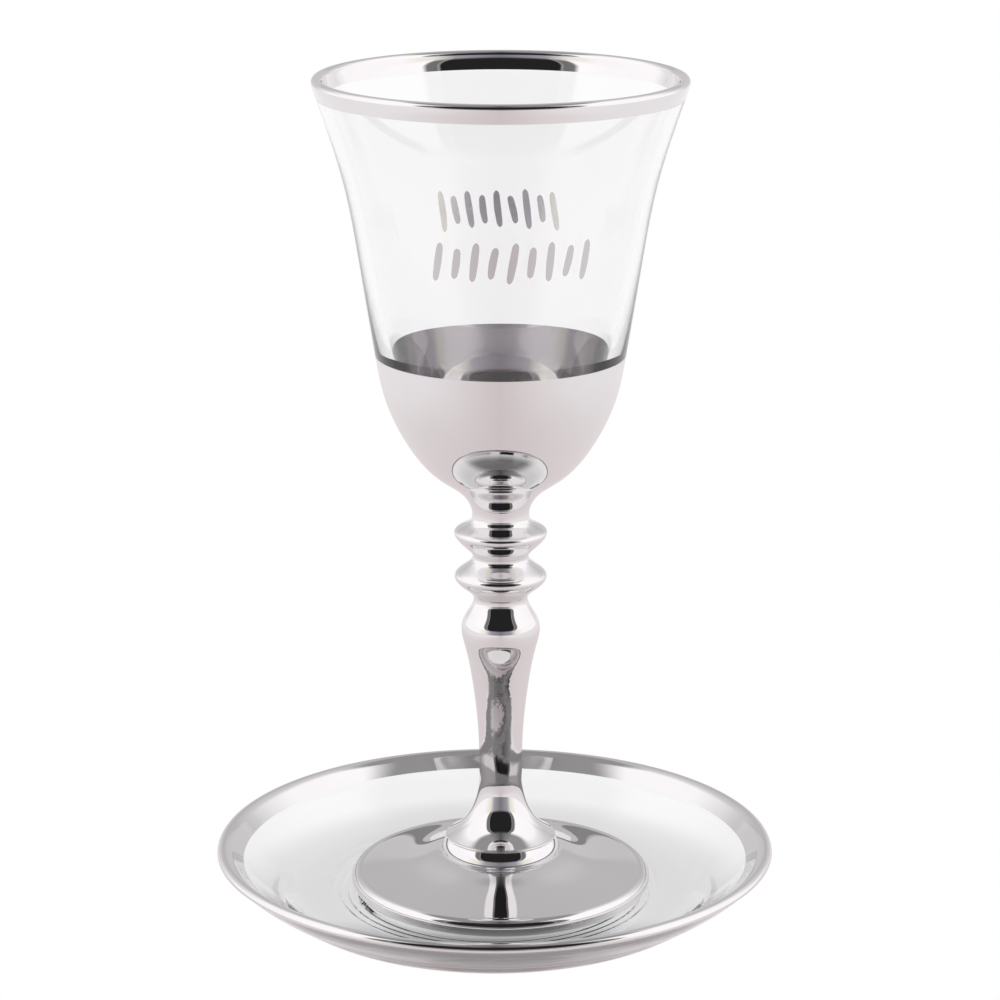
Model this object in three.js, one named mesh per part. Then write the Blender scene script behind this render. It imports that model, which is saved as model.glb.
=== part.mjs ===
// A glass kiddush cup standing in its glass saucer.
// Units are millimetres, +Z is up, and the front of the cup faces -Y. The saucer's centre is at x = y = 0 and its
// underside is at z = 0. Every outline is a half section of [radius, height] points that is turned about Z.
import * as THREE from "three";

const sides = 44; // facets around each turned piece
const stepsPerSpan = 2; // facets between two stations of a smooth outline
const touchingGap = 0.3; // clearance kept between the cup's foot and the saucer's well
const cupOffset = 1.2; // the cup stands this far to the right of the saucer's centre

// The saucer, measured up from its underside.
const saucer = {
  rimRadius: 55.5,
  height: 12.6,
  lipSize: 1.25,
  wellFloor: 3,
  wellRadius: 36,
  baseRadius: 35.5,
  recessRadius: 27,
  recessDepth: 0.6,
};

// The cup, measured up from the underside of its foot.
const cup = {
  height: 163,
  rimRadius: 36,
  rimThickness: 2.1,
  footRadius: 29.9,
  footEdge: 3.7,
  footRestRadius: 28.4,
  collarRadius: 10.8,
  collarHeight: 10.8,
  stemRadius: 4.34,
  neckRadius: 5.63,
  neckHeight: 77.85,
  bowlFloor: 86.4,
};

/** A smooth run of points through the given [radius, height] stations. */
function smooth(stations) {
  const knots = stations.map(([radius, height]) => new THREE.Vector3(radius, height, 0));
  const curve = new THREE.CatmullRomCurve3(knots, false, "centripetal");
  return curve.getPoints(stepsPerSpan * (stations.length - 1)).map((point) => [point.x, point.y]);
}

/** Points on a circular arc about [radius, height], with angles in degrees up from the outward direction. */
function arc([radius, height], size, fromDegrees, toDegrees, steps) {
  const points = [];
  for (let step = 0; step <= steps; step += 1) {
    const angle = THREE.MathUtils.degToRad(fromDegrees + ((toDegrees - fromDegrees) * step) / steps);
    points.push([radius + size * Math.cos(angle), height + size * Math.sin(angle)]);
  }
  return points;
}

/** The disc foot: flat rest, rounded edge, and a top that climbs as a trumpet to the underside of the collar. */
function footOutline() {
  const edgeSize = cup.footEdge / 2;
  const edgeCentre = [cup.footRadius - edgeSize, edgeSize];
  const top = [
    [27, 3.72],
    [20, 4.95],
    [14.65, 6.85],
    [11.85, 7.85],
    [cup.collarRadius, cup.collarHeight - 0.5],
  ];
  return [
    [0, 0],
    [cup.footRestRadius, 0],
    ...arc(edgeCentre, edgeSize, -60, 80, 4),
    ...smooth(top),
  ];
}

/** The thin collar ring and the flare that sweeps up from it into the slender stem. */
function flareOutline() {
  const flare = [
    [cup.collarRadius, cup.collarHeight],
    [8.07, 12.7],
    [5.84, 15.8],
    [4.6, 19.6],
    [cup.stemRadius, 22.9],
  ];
  const ringStep = [cup.collarRadius + 0.15, cup.collarHeight - 0.25];
  return [ringStep, ...smooth(flare)];
}

/** The tapering baluster, then two ring knops with a pinch under each, up to the neck of the bowl. */
function stemOutline() {
  const baluster = [
    [4.34, 29.9],
    [4.91, 37.93],
    [6.16, 46.73],
    [7.14, 50.9],
    [7.45, 55.35],
    [5.28, 60.05],
  ];
  const knops = [
    baluster.at(-1),
    [7.78, 62.72],
    [9.07, 64.65],
    [7.77, 66.15],
    [5.47, 68.37],
    [7.01, 70.6],
    [9.09, 73.63],
    [6.34, 75.36],
    [cup.neckRadius, cup.neckHeight],
  ];
  return [...smooth(baluster), ...smooth(knops).slice(1)];
}

/** The outside of the bowl: a full round bottom, a waist that hardly widens, and a flared mouth. */
function bowlOutsideOutline() {
  const outside = [
    [cup.neckRadius, cup.neckHeight],
    [7.71, 81.46],
    [12.45, 84.92],
    [17.22, 90.1],
    [21.92, 99.1],
    [24.25, 109.2],
    [27.4, 129],
    [30.3, 144],
    [cup.rimRadius, cup.height - cup.rimThickness / 2],
  ];
  return smooth(outside).slice(1);
}

/** The inside of the bowl, from the rim down to the middle of its floor; the wall thickens on the way. */
function bowlInsideOutline() {
  const inside = [
    [cup.rimRadius - cup.rimThickness, cup.height - cup.rimThickness / 2],
    [28.1, 144],
    [25, 129],
    [21.1, 109],
    [17.5, 98.6],
    [12, 91],
    [6, 87.3],
    [0, cup.bowlFloor],
  ];
  return smooth(inside);
}

/** The full half section of the cup, which starts and ends on its axis. */
function cupOutline() {
  const lipSize = cup.rimThickness / 2;
  const lip = arc([cup.rimRadius - lipSize, cup.height - lipSize], lipSize, 45, 135, 2);
  return [
    ...footOutline(),
    ...flareOutline(),
    ...stemOutline(),
    ...bowlOutsideOutline(),
    ...lip,
    ...bowlInsideOutline(),
  ];
}

/** The full half section of the saucer: recessed base, sloping wall, round lip and flat well. */
function saucerOutline() {
  const lipCentre = [saucer.rimRadius - saucer.lipSize, saucer.height - saucer.lipSize];
  const outside = [
    [saucer.baseRadius, 0],
    [39.5, 0.5],
    [42.6, 1.75],
    [45.4, 3.5],
    [50.9, 7.3],
    [saucer.rimRadius - 0.8, saucer.height - 1.9],
  ];
  const inside = [
    [52.8, 12.1],
    [48.2, 7.9],
    [42.9, 4.4],
    [39, 3.2],
    [saucer.wellRadius, saucer.wellFloor],
  ];
  return [
    [0, saucer.recessDepth],
    [saucer.recessRadius, saucer.recessDepth],
    [saucer.recessRadius + saucer.recessDepth, 0],
    ...smooth(outside),
    ...arc(lipCentre, saucer.lipSize, 0, 115, 4),
    ...smooth(inside),
    [0, saucer.wellFloor],
  ];
}

/** Turns a half section about Z into one closed mesh. */
function turned(name, outline, material) {
  const points = outline.map(([radius, height]) => new THREE.Vector2(radius, height));
  const geometry = new THREE.LatheGeometry(points, sides);
  geometry.rotateX(Math.PI / 2);
  const mesh = new THREE.Mesh(geometry, material);
  mesh.name = name;
  return mesh;
}

/** Clear glass, as a see-through material. */
function clearGlass(color, roughness) {
  return new THREE.MeshStandardMaterial({
    color,
    roughness,
    metalness: 0,
    transparent: true,
    opacity: 0.35,
  });
}

const group = new THREE.Group();

const saucerMesh = turned("saucer", saucerOutline(), clearGlass(0xe6ebea, 0.04));
group.add(saucerMesh);

const cupMesh = turned("cup", cupOutline(), clearGlass(0xe9e7e8, 0.03));
cupMesh.position.set(cupOffset, 0, saucer.wellFloor + touchingGap);
group.add(cupMesh);

export default group;
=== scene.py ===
"""A silvered glass kiddush cup standing in its glass saucer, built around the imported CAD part.

Everything is in metres, in the CAD frame: +Z up, the front of the cup facing -Y. Outlines are half sections of
(radius, height) points in millimetres, measured up from the underside of the piece, and are turned about its axis.
"""
import math
import random

import bpy
import numpy as np
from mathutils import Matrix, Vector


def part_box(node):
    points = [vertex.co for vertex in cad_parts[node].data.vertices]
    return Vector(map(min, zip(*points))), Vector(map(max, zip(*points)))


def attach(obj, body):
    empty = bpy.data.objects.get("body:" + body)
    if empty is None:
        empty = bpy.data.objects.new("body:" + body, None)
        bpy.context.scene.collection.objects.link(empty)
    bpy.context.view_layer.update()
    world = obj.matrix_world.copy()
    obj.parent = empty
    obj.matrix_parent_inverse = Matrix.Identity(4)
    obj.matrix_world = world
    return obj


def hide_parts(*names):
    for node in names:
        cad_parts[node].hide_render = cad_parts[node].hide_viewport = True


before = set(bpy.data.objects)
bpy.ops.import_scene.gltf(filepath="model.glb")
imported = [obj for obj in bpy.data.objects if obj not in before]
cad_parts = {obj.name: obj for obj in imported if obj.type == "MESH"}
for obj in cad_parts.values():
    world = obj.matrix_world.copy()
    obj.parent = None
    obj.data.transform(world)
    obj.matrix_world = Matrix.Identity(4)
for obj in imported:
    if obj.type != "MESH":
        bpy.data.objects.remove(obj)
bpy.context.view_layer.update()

MM = 0.001
SIDES = 180  # facets round a turned piece
STEPS = 12  # facets between two stations of a smooth outline

cup_low, cup_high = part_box("cup")
saucer_low, saucer_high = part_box("saucer")
CUP_AXIS = (cup_low.x + cup_high.x) / 2
CUP_BASE = cup_low.z
CUP_HEIGHT = (cup_high.z - cup_low.z) / MM
RIM_RADIUS = (cup_high.y - cup_low.y) / 2 / MM
SAUCER_AXIS = (saucer_low.x + saucer_high.x) / 2
SAUCER_BASE = saucer_low.z
SAUCER_HEIGHT = (saucer_high.z - saucer_low.z) / MM
SAUCER_RADIUS = (saucer_high.y - saucer_low.y) / 2 / MM

RIM_THICKNESS = 2.1
LIP = RIM_THICKNESS / 2
FOOT_RADIUS = 29.9
FOOT_EDGE = 3.7
FOOT_REST_RADIUS = 28.4
COLLAR_RADIUS = 10.8
COLLAR_HEIGHT = 10.8
STEM_RADIUS = 4.28
BOWL_FLOOR = 86.4
SILVER_LINE = 109.3  # height at which the silver of the lower bowl ends
RIM_BAND_OUTSIDE = 3.7  # height of the silver band round the mouth, outside and inside
RIM_BAND_INSIDE = 3.6
SAUCER_LIP = 1.25
WELL_FLOOR = 3.0
WELL_RADIUS = 36.0
SAUCER_SILVER_OUTSIDE = 11.1  # heights at which the silver of the saucer's rim ends
SAUCER_SILVER_INSIDE = 9.7
RECESS_RADIUS = 27  # the shallow recess under the saucer, and the faint turned rings round it
RECESS_DEPTH = 0.6
TURNED_RINGS_FROM = 27.6
TURNED_RINGS_STEP = 0.2
TURNED_RINGS_HEIGHT = 0.1


# ---------------------------------------------------------------- outlines


def smooth(stations, steps=STEPS):
    """Points on a curve with no kink in its bend (a natural cubic spline) through the stations."""
    knots = np.array(stations, float)
    spans = np.sqrt(np.linalg.norm(np.diff(knots, axis=0), axis=1))
    at = np.concatenate([[0], np.cumsum(spans)])
    count = len(knots)
    system = np.eye(count)
    right = np.zeros_like(knots)
    for i in range(1, count - 1):
        before, after = spans[i - 1], spans[i]
        system[i, i - 1 : i + 2] = before, 2 * (before + after), after
        right[i] = 6 * ((knots[i + 1] - knots[i]) / after - (knots[i] - knots[i - 1]) / before)
    bend = np.linalg.solve(system, right)
    points = []
    for i in range(count - 1):
        span = spans[i]
        for step in range(steps):
            a = step / steps
            b = 1 - a
            arc_part = ((b**3 - b) * bend[i] + (a**3 - a) * bend[i + 1]) * span**2 / 6
            points.append(b * knots[i] + a * knots[i + 1] + arc_part)
    points.append(knots[-1])
    return [tuple(p) for p in points]


def arc(centre, size, start, end, steps=10):
    """Points on a circular arc, with angles in degrees up from the outward direction."""
    angles = np.radians(np.linspace(start, end, steps + 1))
    return [(centre[0] + size * math.cos(a), centre[1] + size * math.sin(a)) for a in angles]


def foot_outline():
    """Flat rest, rounded edge, and a top that climbs to the cushion under the collar.

    The first three stations of the top are a search program's result too."""
    edge = FOOT_EDGE / 2
    top = [(27.7, 3.6), (27, 3.72), (20, 4.95), (14.8, 6.6), (12.2, 7.4)]
    cushion = [(11.8, 7.65), (11.65, 8.35), (11.3, 9.3), (COLLAR_RADIUS, COLLAR_HEIGHT - 0.5)]
    rim = arc((FOOT_RADIUS - edge, edge), edge, -60, 84, 16)
    return [(0, 0), (FOOT_REST_RADIUS, 0)] + rim + smooth(top) + smooth(cushion)


def collar_outline():
    return arc((COLLAR_RADIUS - 0.1, COLLAR_HEIGHT - 0.22), 0.25, -60, 60, 6)


def stem_outline():
    """One unbroken sweep from the collar up the stem, over its two knops and up the bowl to the mouth.

    Up to the silver's edge on the bowl, the stations are a search program's result and not chosen by hand."""
    flare = [(COLLAR_RADIUS, COLLAR_HEIGHT), (8.07, 12.7), (5.84, 15.8), (4.6, 19.65)]
    baluster = [(STEM_RADIUS, 22.9), (4.32, 29.9), (4.925, 37.93)]
    baluster += [(6.245, 46.73), (7.235, 50.9), (7.45, 55.35)]
    lower_knop = [(5.28, 60.05), (7.78, 62.72), (9.07, 64.65), (7.77, 66.15), (5.47, 68.37)]
    upper_knop = [(7.01, 70.6), (9.09, 73.63), (6.34, 75.36), (5.63, 77.85), (7.71, 81.46)]
    bowl = [(12.45, 84.92), (17.22, 90.1), (21.92, 99.1), (24.25, 109.2), (27.4, 129), (30.3, 144)]
    mouth = (RIM_RADIUS, CUP_HEIGHT - LIP)
    return smooth(flare + baluster + lower_knop + upper_knop + bowl + [mouth])


def lip_outline():
    return arc((RIM_RADIUS - LIP, CUP_HEIGHT - LIP), LIP, 8, 172, 14)


def inside_outline():
    inside = [(RIM_RADIUS - RIM_THICKNESS, CUP_HEIGHT - LIP), (28.1, 144), (25, 129), (21.1, 109)]
    inside += [(17.5, 98.6), (12, 91), (6, 87.3), (0, BOWL_FLOOR)]
    return smooth(inside)


def cup_outline():
    return foot_outline() + collar_outline() + stem_outline() + lip_outline() + inside_outline()


def saucer_outline():
    lip_centre = (SAUCER_RADIUS - SAUCER_LIP, SAUCER_HEIGHT - SAUCER_LIP)
    rings = [
        (TURNED_RINGS_FROM + i * TURNED_RINGS_STEP, TURNED_RINGS_HEIGHT * abs(math.sin(i * math.pi / 8)))
        for i in range(25)
    ]
    outside = [(35.6, 0), (39.5, 0.5), (42.6, 1.75), (45.4, 3.5), (50.9, 7.3)]
    outside.append((SAUCER_RADIUS - 0.8, 10.7))
    inside = [(52.9, 12.1), (48.2, 7.9), (42.9, 4.4), (39, 3.2), (WELL_RADIUS, WELL_FLOOR)]
    lip = arc(lip_centre, SAUCER_LIP, 0, 120, 12)
    recess = [(0, RECESS_DEPTH), (RECESS_RADIUS, RECESS_DEPTH)]
    return recess + rings + smooth(outside) + lip + smooth(inside) + [(0, WELL_FLOOR)]


def radius_at(outline, height):
    """The bowl's outer radius at a height."""
    heights = [h for r, h in outline]
    return float(np.interp(height, heights, [r for r, h in outline]))


def with_points_at(outline, height):
    """The outline with a point added wherever it crosses a height."""
    points = [outline[0]]
    for before, after in zip(outline, outline[1:]):
        if min(before[1], after[1]) < height < max(before[1], after[1]):
            share = (height - before[1]) / (after[1] - before[1])
            points.append((before[0] + share * (after[0] - before[0]), height))
        points.append(after)
    return points


# ---------------------------------------------------------------- meshes


def turned(name, outline, axis, base, silvered):
    """A closed mesh turned about the piece's axis from a half section in millimetres.

    silvered(height, outside) says whether the glass there wears silver: such faces take the second material."""
    top = max(range(len(outline)), key=lambda i: outline[i][1])
    rings = []
    verts = []
    for radius, height in outline:
        if radius < 1e-6:
            rings.append([len(verts)])
            verts.append((axis, 0, base + height * MM))
            continue
        rings.append(list(range(len(verts), len(verts) + SIDES)))
        for side in range(SIDES):
            turn = 2 * math.pi * side / SIDES
            reach = radius * MM
            verts.append((axis + reach * math.cos(turn), reach * math.sin(turn), base + height * MM))
    faces, coats = [], []
    for i, (lower, upper) in enumerate(zip(rings, rings[1:])):
        coat = int(silvered((outline[i][1] + outline[i + 1][1]) / 2, i < top))
        for side in range(SIDES):
            after = (side + 1) % SIDES
            coats.append(coat)
            if len(lower) == 1:
                faces.append((lower[0], upper[after], upper[side]))
            elif len(upper) == 1:
                faces.append((lower[side], lower[after], upper[0]))
            else:
                faces.append((lower[side], lower[after], upper[after], upper[side]))
    obj = new_object(name, verts, faces)
    obj.data.polygons.foreach_set("material_index", coats)
    return obj


def new_object(name, verts, faces, sharp=35):
    mesh = bpy.data.meshes.new(name)
    mesh.from_pydata(verts, [], faces)
    mesh.shade_smooth()
    mesh.set_sharp_from_angle(angle=math.radians(sharp))
    obj = bpy.data.objects.new(name, mesh)
    bpy.context.scene.collection.objects.link(obj)
    return obj


# ---------------------------------------------------------------- materials


def new_material(name):
    material = bpy.data.materials.new(name)
    material.use_nodes = True
    tree = material.node_tree
    return material, tree, tree.nodes["Principled BSDF"]


def noise(tree, scale, detail, stretch=(1, 1, 1)):
    """A noise texture in the object's own coordinates, stretched along each axis."""
    place = tree.nodes.new("ShaderNodeTexCoord")
    mapping = tree.nodes.new("ShaderNodeMapping")
    mapping.inputs["Scale"].default_value = stretch
    texture = tree.nodes.new("ShaderNodeTexNoise")
    texture.inputs["Scale"].default_value = scale
    texture.inputs["Detail"].default_value = detail
    tree.links.new(place.outputs["Object"], mapping.inputs["Vector"])
    tree.links.new(mapping.outputs["Vector"], texture.inputs["Vector"])
    return texture.outputs["Fac"]


def math_node(tree, operation, *values):
    """A math node's output, from numbers and other nodes' outputs."""
    node = tree.nodes.new("ShaderNodeMath")
    node.operation = operation
    for socket, value in zip(node.inputs, values):
        if isinstance(value, (int, float)):
            socket.default_value = value
        else:
            tree.links.new(value, socket)
    return node.outputs[0]


def eased(tree, value, start, end):
    """0 at start and 1 at end, eased between them."""
    node = tree.nodes.new("ShaderNodeMapRange")
    node.interpolation_type = "SMOOTHSTEP"
    node.inputs["From Min"].default_value = start
    node.inputs["From Max"].default_value = end
    tree.links.new(value, node.inputs["Value"])
    return node.outputs[0]


def position(tree):
    """The object's own coordinates, split into x, y and z."""
    split = tree.nodes.new("ShaderNodeSeparateXYZ")
    tree.links.new(tree.nodes.new("ShaderNodeTexCoord").outputs["Object"], split.inputs[0])
    return split


def ramp(tree, source, stops):
    """A colour ramp from (position, colour) stops."""
    node = tree.nodes.new("ShaderNodeValToRGB")
    while len(node.color_ramp.elements) < len(stops):
        node.color_ramp.elements.new(0.5)
    for element, (position, colour) in zip(node.color_ramp.elements, stops):
        element.position = position
        element.color = (*colour, 1)
    tree.links.new(source, node.inputs["Fac"])
    return node.outputs["Color"]


def bump(tree, shader, height, strength, distance):
    node = tree.nodes.new("ShaderNodeBump")
    node.inputs["Strength"].default_value = strength
    node.inputs["Distance"].default_value = distance
    tree.links.new(height, node.inputs["Height"])
    tree.links.new(node.outputs["Normal"], shader.inputs["Normal"])


BACK_OF_COAT = 0.84  # how bright the coat is where it is seen through the glass that it lies on


def silver_material(name, tone, haze):
    """A mirror coat on glass: bright, faintly warm, a little hazy, and never perfectly even."""
    material, tree, shader = new_material(name)
    shader.inputs["Metallic"].default_value = 1
    dark = tuple(t * 0.96 for t in tone)
    colour = ramp(tree, noise(tree, 60, 4), [(0.3, dark), (0.7, tone)])
    through_glass = tree.nodes.new("ShaderNodeMix")
    through_glass.data_type = "RGBA"
    through_glass.blend_type = "MULTIPLY"
    through_glass.inputs["B"].default_value = (BACK_OF_COAT, BACK_OF_COAT, BACK_OF_COAT, 1)
    backfacing = tree.nodes.new("ShaderNodeNewGeometry").outputs["Backfacing"]
    tree.links.new(backfacing, through_glass.inputs["Factor"])
    tree.links.new(colour, through_glass.inputs["A"])
    tree.links.new(through_glass.outputs["Result"], shader.inputs["Base Color"])
    rough = ramp(tree, noise(tree, 90, 5), [(0.35, (haze,) * 3), (0.75, (haze * 1.8,) * 3)])
    tree.links.new(rough, shader.inputs["Roughness"])
    return material, tree, shader


def glass_material(name, tint):
    """Clear glass, bending light as soda glass does, with the faint waves of a blown wall."""
    material, tree, shader = new_material(name)
    shader.inputs["Transmission Weight"].default_value = 1
    shader.inputs["IOR"].default_value = 1.5
    shader.inputs["Roughness"].default_value = 0
    faint = tuple(t * 0.985 for t in tint)
    colour = ramp(tree, noise(tree, 25, 2), [(0.35, faint), (0.65, tint)])
    tree.links.new(colour, shader.inputs["Base Color"])
    bump(tree, shader, noise(tree, 30, 1), 0.05, 0.0004)
    return material


STREAKS_SET_IN = (0.024, 0.032)  # heights in metres between which the stem's streaks set in, and die away
STREAKS_DIE_AWAY = (0.058, 0.048)
STREAK_DEPTH = 0.6  # beside the depth of the coat's slow waves


def body_silver():
    """The coat of both bodies, in slow waves.

    The stem is drawn by hand, so there it is faintly streaked too."""
    material, tree, shader = silver_material("silver_coat", (0.78, 0.765, 0.77), 0.02)
    height = position(tree).outputs[2]
    above_collar = eased(tree, height, *STREAKS_SET_IN)
    below_swelling = eased(tree, height, *STREAKS_DIE_AWAY)
    on_stem = math_node(tree, "MULTIPLY", above_collar, below_swelling)
    streaks = math_node(tree, "MULTIPLY", noise(tree, 360, 4, (1, 1, 0.3)), on_stem)
    waves = math_node(tree, "MULTIPLY_ADD", streaks, STREAK_DEPTH, noise(tree, 55, 2, (1, 1, 0.4)))
    bump(tree, shader, waves, 0.06, 0.0006)
    return material


def brushed_silver():
    """The duller, grainy silver of the strokes."""
    material, tree, shader = silver_material("stroke_silver", (0.74, 0.725, 0.73), 0.16)
    bump(tree, shader, noise(tree, 700, 4), 0.15, 0.0001)
    return material


silver = body_silver()
stroke_silver = brushed_silver()
cup_glass = glass_material("cup_glass", (0.965, 0.96, 0.965))
saucer_glass = glass_material("saucer_glass", (0.935, 0.935, 0.94))


# ---------------------------------------------------------------- the cup


def finish_piece(obj, node, slot, *materials):
    for material in materials:
        obj.data.materials.append(material)
    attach(obj, "root")
    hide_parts(node)


def cup_silvered(height, outside):
    if outside:
        return height < SILVER_LINE or height > CUP_HEIGHT - RIM_BAND_OUTSIDE
    return height > CUP_HEIGHT - RIM_BAND_INSIDE


whole_cup = cup_outline()
for edge in (SILVER_LINE, CUP_HEIGHT - RIM_BAND_OUTSIDE, CUP_HEIGHT - RIM_BAND_INSIDE):
    whole_cup = with_points_at(whole_cup, edge)
cup_body = turned("cup_body", whole_cup, CUP_AXIS, CUP_BASE, cup_silvered)
finish_piece(cup_body, "cup", "cup_glass", cup_glass, silver)

outer_bowl = stem_outline()
STROKE_LIFT = 0.03  # how far a stroke stands proud of the glass
STROKE_WIDTHS = (1.2, 1.5, 1.3)  # at its foot, middle and head
LONG_STROKE = 3.9  # half the height of a long and of a short stroke
SHORT_STROKE = 2.9
STROKE_COUNT = 9
ROW_HEIGHT = 132.4
FRONT_ROW = (-12.0, 16.4)  # where the first and the last stroke stand, along the row from its middle
BACK_ROW = (-11.7, 12.7)


def stroke(points, widths, facing, steps=10, across=4):
    """One brushed stroke on the outside of the bowl, as a grid of (verts, faces).

    points are (sideways, height) in millimetres from the row's middle, and facing is the way the row faces."""
    path = np.array(smooth(points, steps))
    along = np.gradient(path, axis=0)
    along /= np.linalg.norm(along, axis=1)[:, None]
    normal = np.stack([-along[:, 1], along[:, 0]], axis=1)
    share = np.linspace(0, 1, len(path))
    width = np.interp(share, np.linspace(0, 1, len(widths)), widths)
    rounding = np.sqrt(np.clip(1 - np.abs(2 * share - 1) ** 8, 0.02, 1))
    verts = []
    for spot, side, half in zip(path, normal, width * rounding / 2):
        for i in range(across + 1):
            sideways, height = spot + side * half * (2 * i / across - 1)
            radius = radius_at(outer_bowl, height) + STROKE_LIFT
            turn = facing + sideways / radius
            verts.append(
                (
                    CUP_AXIS + radius * MM * math.cos(turn),
                    radius * MM * math.sin(turn),
                    CUP_BASE + height * MM,
                )
            )
    faces = []
    row = across + 1
    for i in range(len(path) - 1):
        for j in range(across):
            start = i * row + j
            faces.append((start, start + 1, start + row + 1, start + row))
    return verts, faces


def stroke_row(name, facing, ends, seed):
    """A row of separate slanted strokes, which stands where the real cup has its inscription."""
    rng = random.Random(seed)
    verts, faces = [], []
    start, end = ends
    for place in range(STROKE_COUNT):
        centre = start + (end - start) * place / (STROKE_COUNT - 1)
        tall = LONG_STROKE if place % 2 == 0 else SHORT_STROKE
        tall += rng.uniform(-0.25, 0.25)
        lean = rng.uniform(0.35, 0.75)
        rise = rng.uniform(-0.2, 0.2)
        low = (centre - lean, ROW_HEIGHT + rise - tall)
        high = (centre + lean, ROW_HEIGHT + rise + tall)
        bow = (centre + rng.uniform(-0.15, 0.15), ROW_HEIGHT + rise)
        more_verts, more_faces = stroke([low, bow, high], STROKE_WIDTHS, facing)
        faces += [tuple(i + len(verts) for i in face) for face in more_faces]
        verts += more_verts
    obj = new_object(name, verts, faces, sharp=60)
    finish_piece(obj, "cup", "silver_coat", stroke_silver)


FRONT = -math.pi / 2
BACK = math.pi / 2
stroke_row("front_strokes", FRONT, FRONT_ROW, seed=3)
stroke_row("back_strokes", BACK, BACK_ROW, seed=8)


# ---------------------------------------------------------------- the saucer

whole_saucer = saucer_outline()
for edge in (SAUCER_SILVER_OUTSIDE, SAUCER_SILVER_INSIDE):
    whole_saucer = with_points_at(whole_saucer, edge)


def saucer_silvered(height, outside):
    return height > (SAUCER_SILVER_OUTSIDE if outside else SAUCER_SILVER_INSIDE)


saucer_body = turned("saucer_body", whole_saucer, SAUCER_AXIS, SAUCER_BASE, saucer_silvered)
finish_piece(saucer_body, "saucer", "saucer_glass", saucer_glass, silver)


# ---------------------------------------------------------------- studio


OPENING_HEIGHT = 38  # degrees up to the middle of the tent's round dark opening
OPENING_REACH = 20  # degrees from there to its top and bottom
OPENING_NARROWING = 12  # degrees that each side has closed in by there
STUDIO_RADIUS = 6  # all of the studio, in metres
TABLE_STEP = 0.0002  # metres between the discs that stand for the table
FRONT_SHADE = (-0.014, -0.032)  # y between which the shade of the saucer's front wall deepens
SHADE_EDGE = (0.060, 0.044)  # distances from the middle between which all shade sets in
FRONT_SHADE_DEPTH = 0.62
SHADE_DEPTH = 0.18


def emitter(name):
    """A white surface that glows evenly, with its tree and its glow for whoever shades it."""
    material = bpy.data.materials.new(name)
    material.use_nodes = True
    tree = material.node_tree
    tree.nodes.clear()
    output = tree.nodes.new("ShaderNodeOutputMaterial")
    glow = tree.nodes.new("ShaderNodeEmission")
    glow.inputs["Color"].default_value = (1, 1, 1, 1)
    glow.inputs["Strength"].default_value = 1
    tree.links.new(glow.outputs["Emission"], output.inputs["Surface"])
    return material, tree, glow


def tent_world():
    """A light tent: soft boxes left and right, a dark opening in front, and grey cloth above and behind."""
    world = bpy.data.worlds.new("light_tent")
    bpy.context.scene.world = world
    world.use_nodes = True
    tree = world.node_tree
    direction = tree.nodes.new("ShaderNodeTexCoord").outputs["Generated"]
    split = tree.nodes.new("ShaderNodeSeparateXYZ")
    tree.links.new(direction, split.inputs[0])
    x, y, z = split.outputs
    turn = math_node(tree, "ARCTAN2", math_node(tree, "ABSOLUTE", x), math_node(tree, "MULTIPLY", y, -1))
    aside = math_node(tree, "DIVIDE", turn, math.pi)
    lift = math_node(tree, "DIVIDE", math_node(tree, "ARCSINE", z), math.pi / 2)

    # The dark opening is round: it narrows towards its top and bottom.
    reach_up, middle_up = 90 / OPENING_REACH, -OPENING_HEIGHT / OPENING_REACH
    from_middle = math_node(tree, "MULTIPLY_ADD", lift, reach_up, middle_up)
    off_middle = math_node(tree, "POWER", math_node(tree, "ABSOLUTE", from_middle), 4)
    narrowing = math_node(tree, "MULTIPLY", off_middle, OPENING_NARROWING / 180)
    narrowed = math_node(tree, "MINIMUM", narrowing, OPENING_NARROWING / 180)
    round_aside = math_node(tree, "ADD", aside, narrowed)

    def band(stops, around=aside):
        """Brightness round the tent, from (degrees aside of the front, colour) stops."""
        return ramp(tree, around, [(angle / 180, colour) for angle, colour in stops])

    def grey(value):
        return (value, value * 0.985, value)

    low = band(
        [
            (0, (0.25, 0.235, 0.27)),
            (30, (0.44, 0.42, 0.47)),
            (46, (1.05, 1.02, 0.92)),
            (58, (1.15, 1.12, 1.02)),
            (68, grey(1.25)),
            (125, grey(1.25)),
            (150, grey(0.75)),
            (180, grey(0.64)),
        ]
    )
    middle = band(
        [
            (0, grey(0.022)),
            (44, grey(0.022)),
            (45.5, grey(0.45)),
            (47, grey(0.2)),
            (55, grey(0.22)),
            (59, grey(1.3)),
            (122, grey(1.25)),
            (145, grey(0.8)),
            (165, grey(0.62)),
            (180, grey(0.59)),
        ],
        round_aside,
    )
    top = band(
        [
            (0, grey(0.11)),
            (30, grey(0.25)),
            (60, grey(0.36)),
            (130, grey(0.36)),
            (180, grey(0.34)),
        ]
    )

    def mixed(lower, upper, start, end):
        """Two bands blended between two heights in degrees."""
        node = tree.nodes.new("ShaderNodeMix")
        node.data_type = "RGBA"
        tree.links.new(eased(tree, lift, start / 90, end / 90), node.inputs["Factor"])
        tree.links.new(lower, node.inputs["A"])
        tree.links.new(upper, node.inputs["B"])
        return node.outputs["Result"]

    cloth = mixed(mixed(low, middle, 16, 20), top, 56, 64)
    background = tree.nodes["Background"]
    tree.links.new(cloth, background.inputs["Color"])
    background.inputs["Strength"].default_value = 1.0


def disc(name, height, material):
    bpy.ops.mesh.primitive_circle_add(
        vertices=96, radius=STUDIO_RADIUS, fill_type="NGON", location=(0, 0, height)
    )
    obj = bpy.context.object
    obj.name = name
    obj.data.materials.append(material)
    return obj


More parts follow.
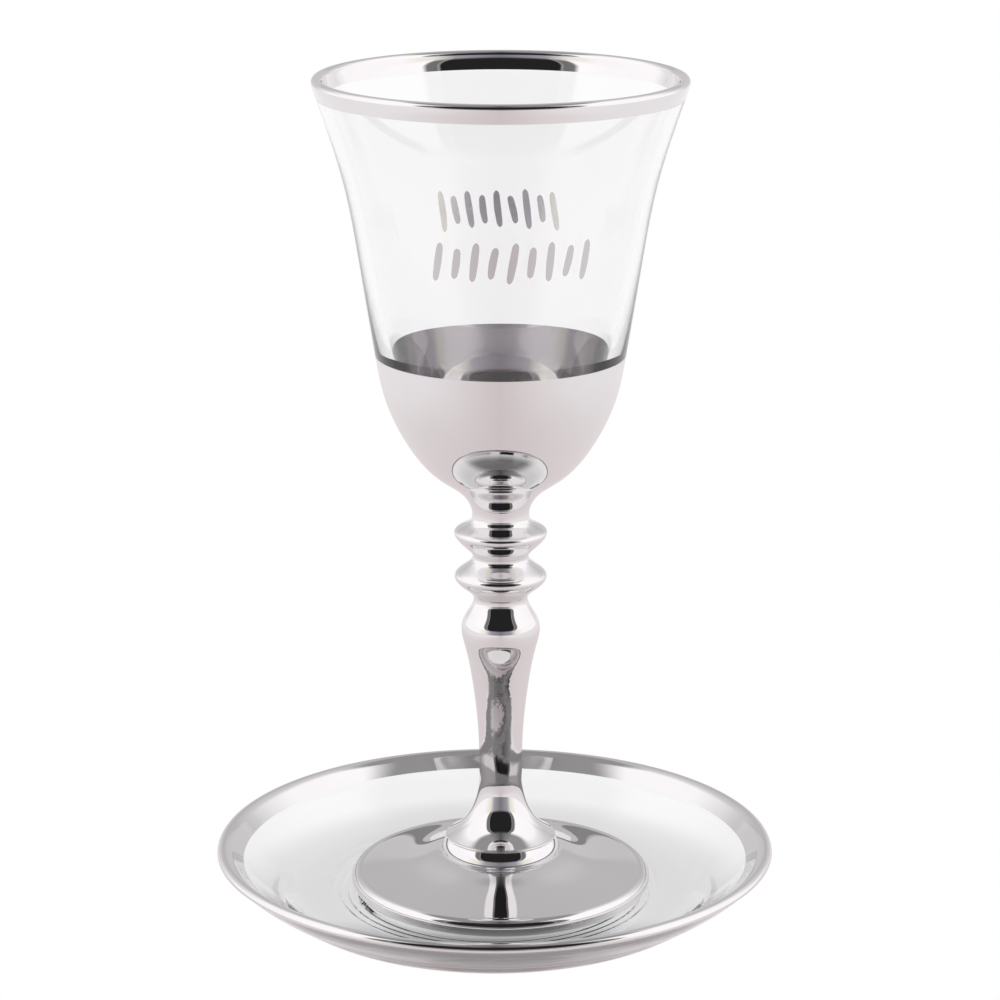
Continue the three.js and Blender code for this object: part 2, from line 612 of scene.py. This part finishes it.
def white_surroundings():
    """The white floor and background, which only the camera sees."""
    white = emitter("plain_white")[0]
    floor = disc("floor", 0, white)
    floor.visible_glossy = False
    floor.visible_transmission = False

    bpy.ops.mesh.primitive_uv_sphere_add(segments=48, ring_count=24, radius=STUDIO_RADIUS)
    backdrop = bpy.context.object
    backdrop.name = "backdrop"
    backdrop.data.materials.append(white)
    backdrop.visible_glossy = False
    backdrop.visible_diffuse = False
    backdrop.visible_transmission = False


def mirrored_table():
    """The table as the silver mirrors it, a glowing disc with painted shade: dimmer and warmer in the middle,
    brighter to each side.
    """
    material, tree, glow = emitter("painted_shade_table")
    aside = math_node(tree, "MULTIPLY", math_node(tree, "ABSOLUTE", position(tree).outputs[0]), 4)
    # painted shade: the table's glow is dimmer and warmer in the middle and brighter to each side
    shade = ramp(tree, aside, [(0.0, (0.78, 0.70, 0.71)), (0.5, (0.9, 0.85, 0.855)), (1.0, (1.0, 0.98, 0.99))])
    tree.links.new(shade, glow.inputs["Color"])
    table = disc("table_mirrored", -TABLE_STEP, material)
    table.visible_camera = False
    table.visible_transmission = False


def table_through_glass():
    """The same table as it shows through the glass, in the shade of the foot and the saucer's front wall."""
    material, tree, glow = emitter("shaded_cloth")
    reach = tree.nodes.new("ShaderNodeVectorMath")
    reach.operation = "LENGTH"
    tree.links.new(tree.nodes.new("ShaderNodeTexCoord").outputs["Object"], reach.inputs[0])
    front = eased(tree, position(tree).outputs[1], *FRONT_SHADE)
    under = eased(tree, reach.outputs["Value"], *SHADE_EDGE)
    shade = math_node(tree, "MULTIPLY_ADD", front, FRONT_SHADE_DEPTH, SHADE_DEPTH)
    bright = math_node(tree, "SUBTRACT", 1, math_node(tree, "MULTIPLY", shade, under))
    tree.links.new(bright, glow.inputs["Strength"])
    shaded = disc("table_through_glass", -2 * TABLE_STEP, material)
    shaded.visible_camera = False
    shaded.visible_glossy = False


CAMERA_LENS = 125.7  # in millimetres, on a sensor 36 wide
CAMERA_DISTANCE = 0.6577  # metres in front of the saucer's middle, above its underside and to its right
CAMERA_HEIGHT = 0.26325
CAMERA_ASIDE = 0.00107
CAMERA_PITCH = 15.314  # degrees that it looks down


def camera():
    data = bpy.data.cameras.new("camera")
    data.sensor_width = 36
    data.lens = CAMERA_LENS
    obj = bpy.data.objects.new("camera", data)
    bpy.context.scene.collection.objects.link(obj)
    obj.location = (SAUCER_AXIS + CAMERA_ASIDE, -CAMERA_DISTANCE, CAMERA_HEIGHT)
    obj.rotation_euler = (math.radians(90 - CAMERA_PITCH), 0, 0)
    bpy.context.scene.camera = obj


tent_world()
white_surroundings()
mirrored_table()
table_through_glass()
camera()
scene = bpy.context.scene
scene.view_settings.view_transform = "Standard"
scene.cycles.max_bounces = 24
scene.cycles.glossy_bounces = 16
scene.cycles.transmission_bounces = 20
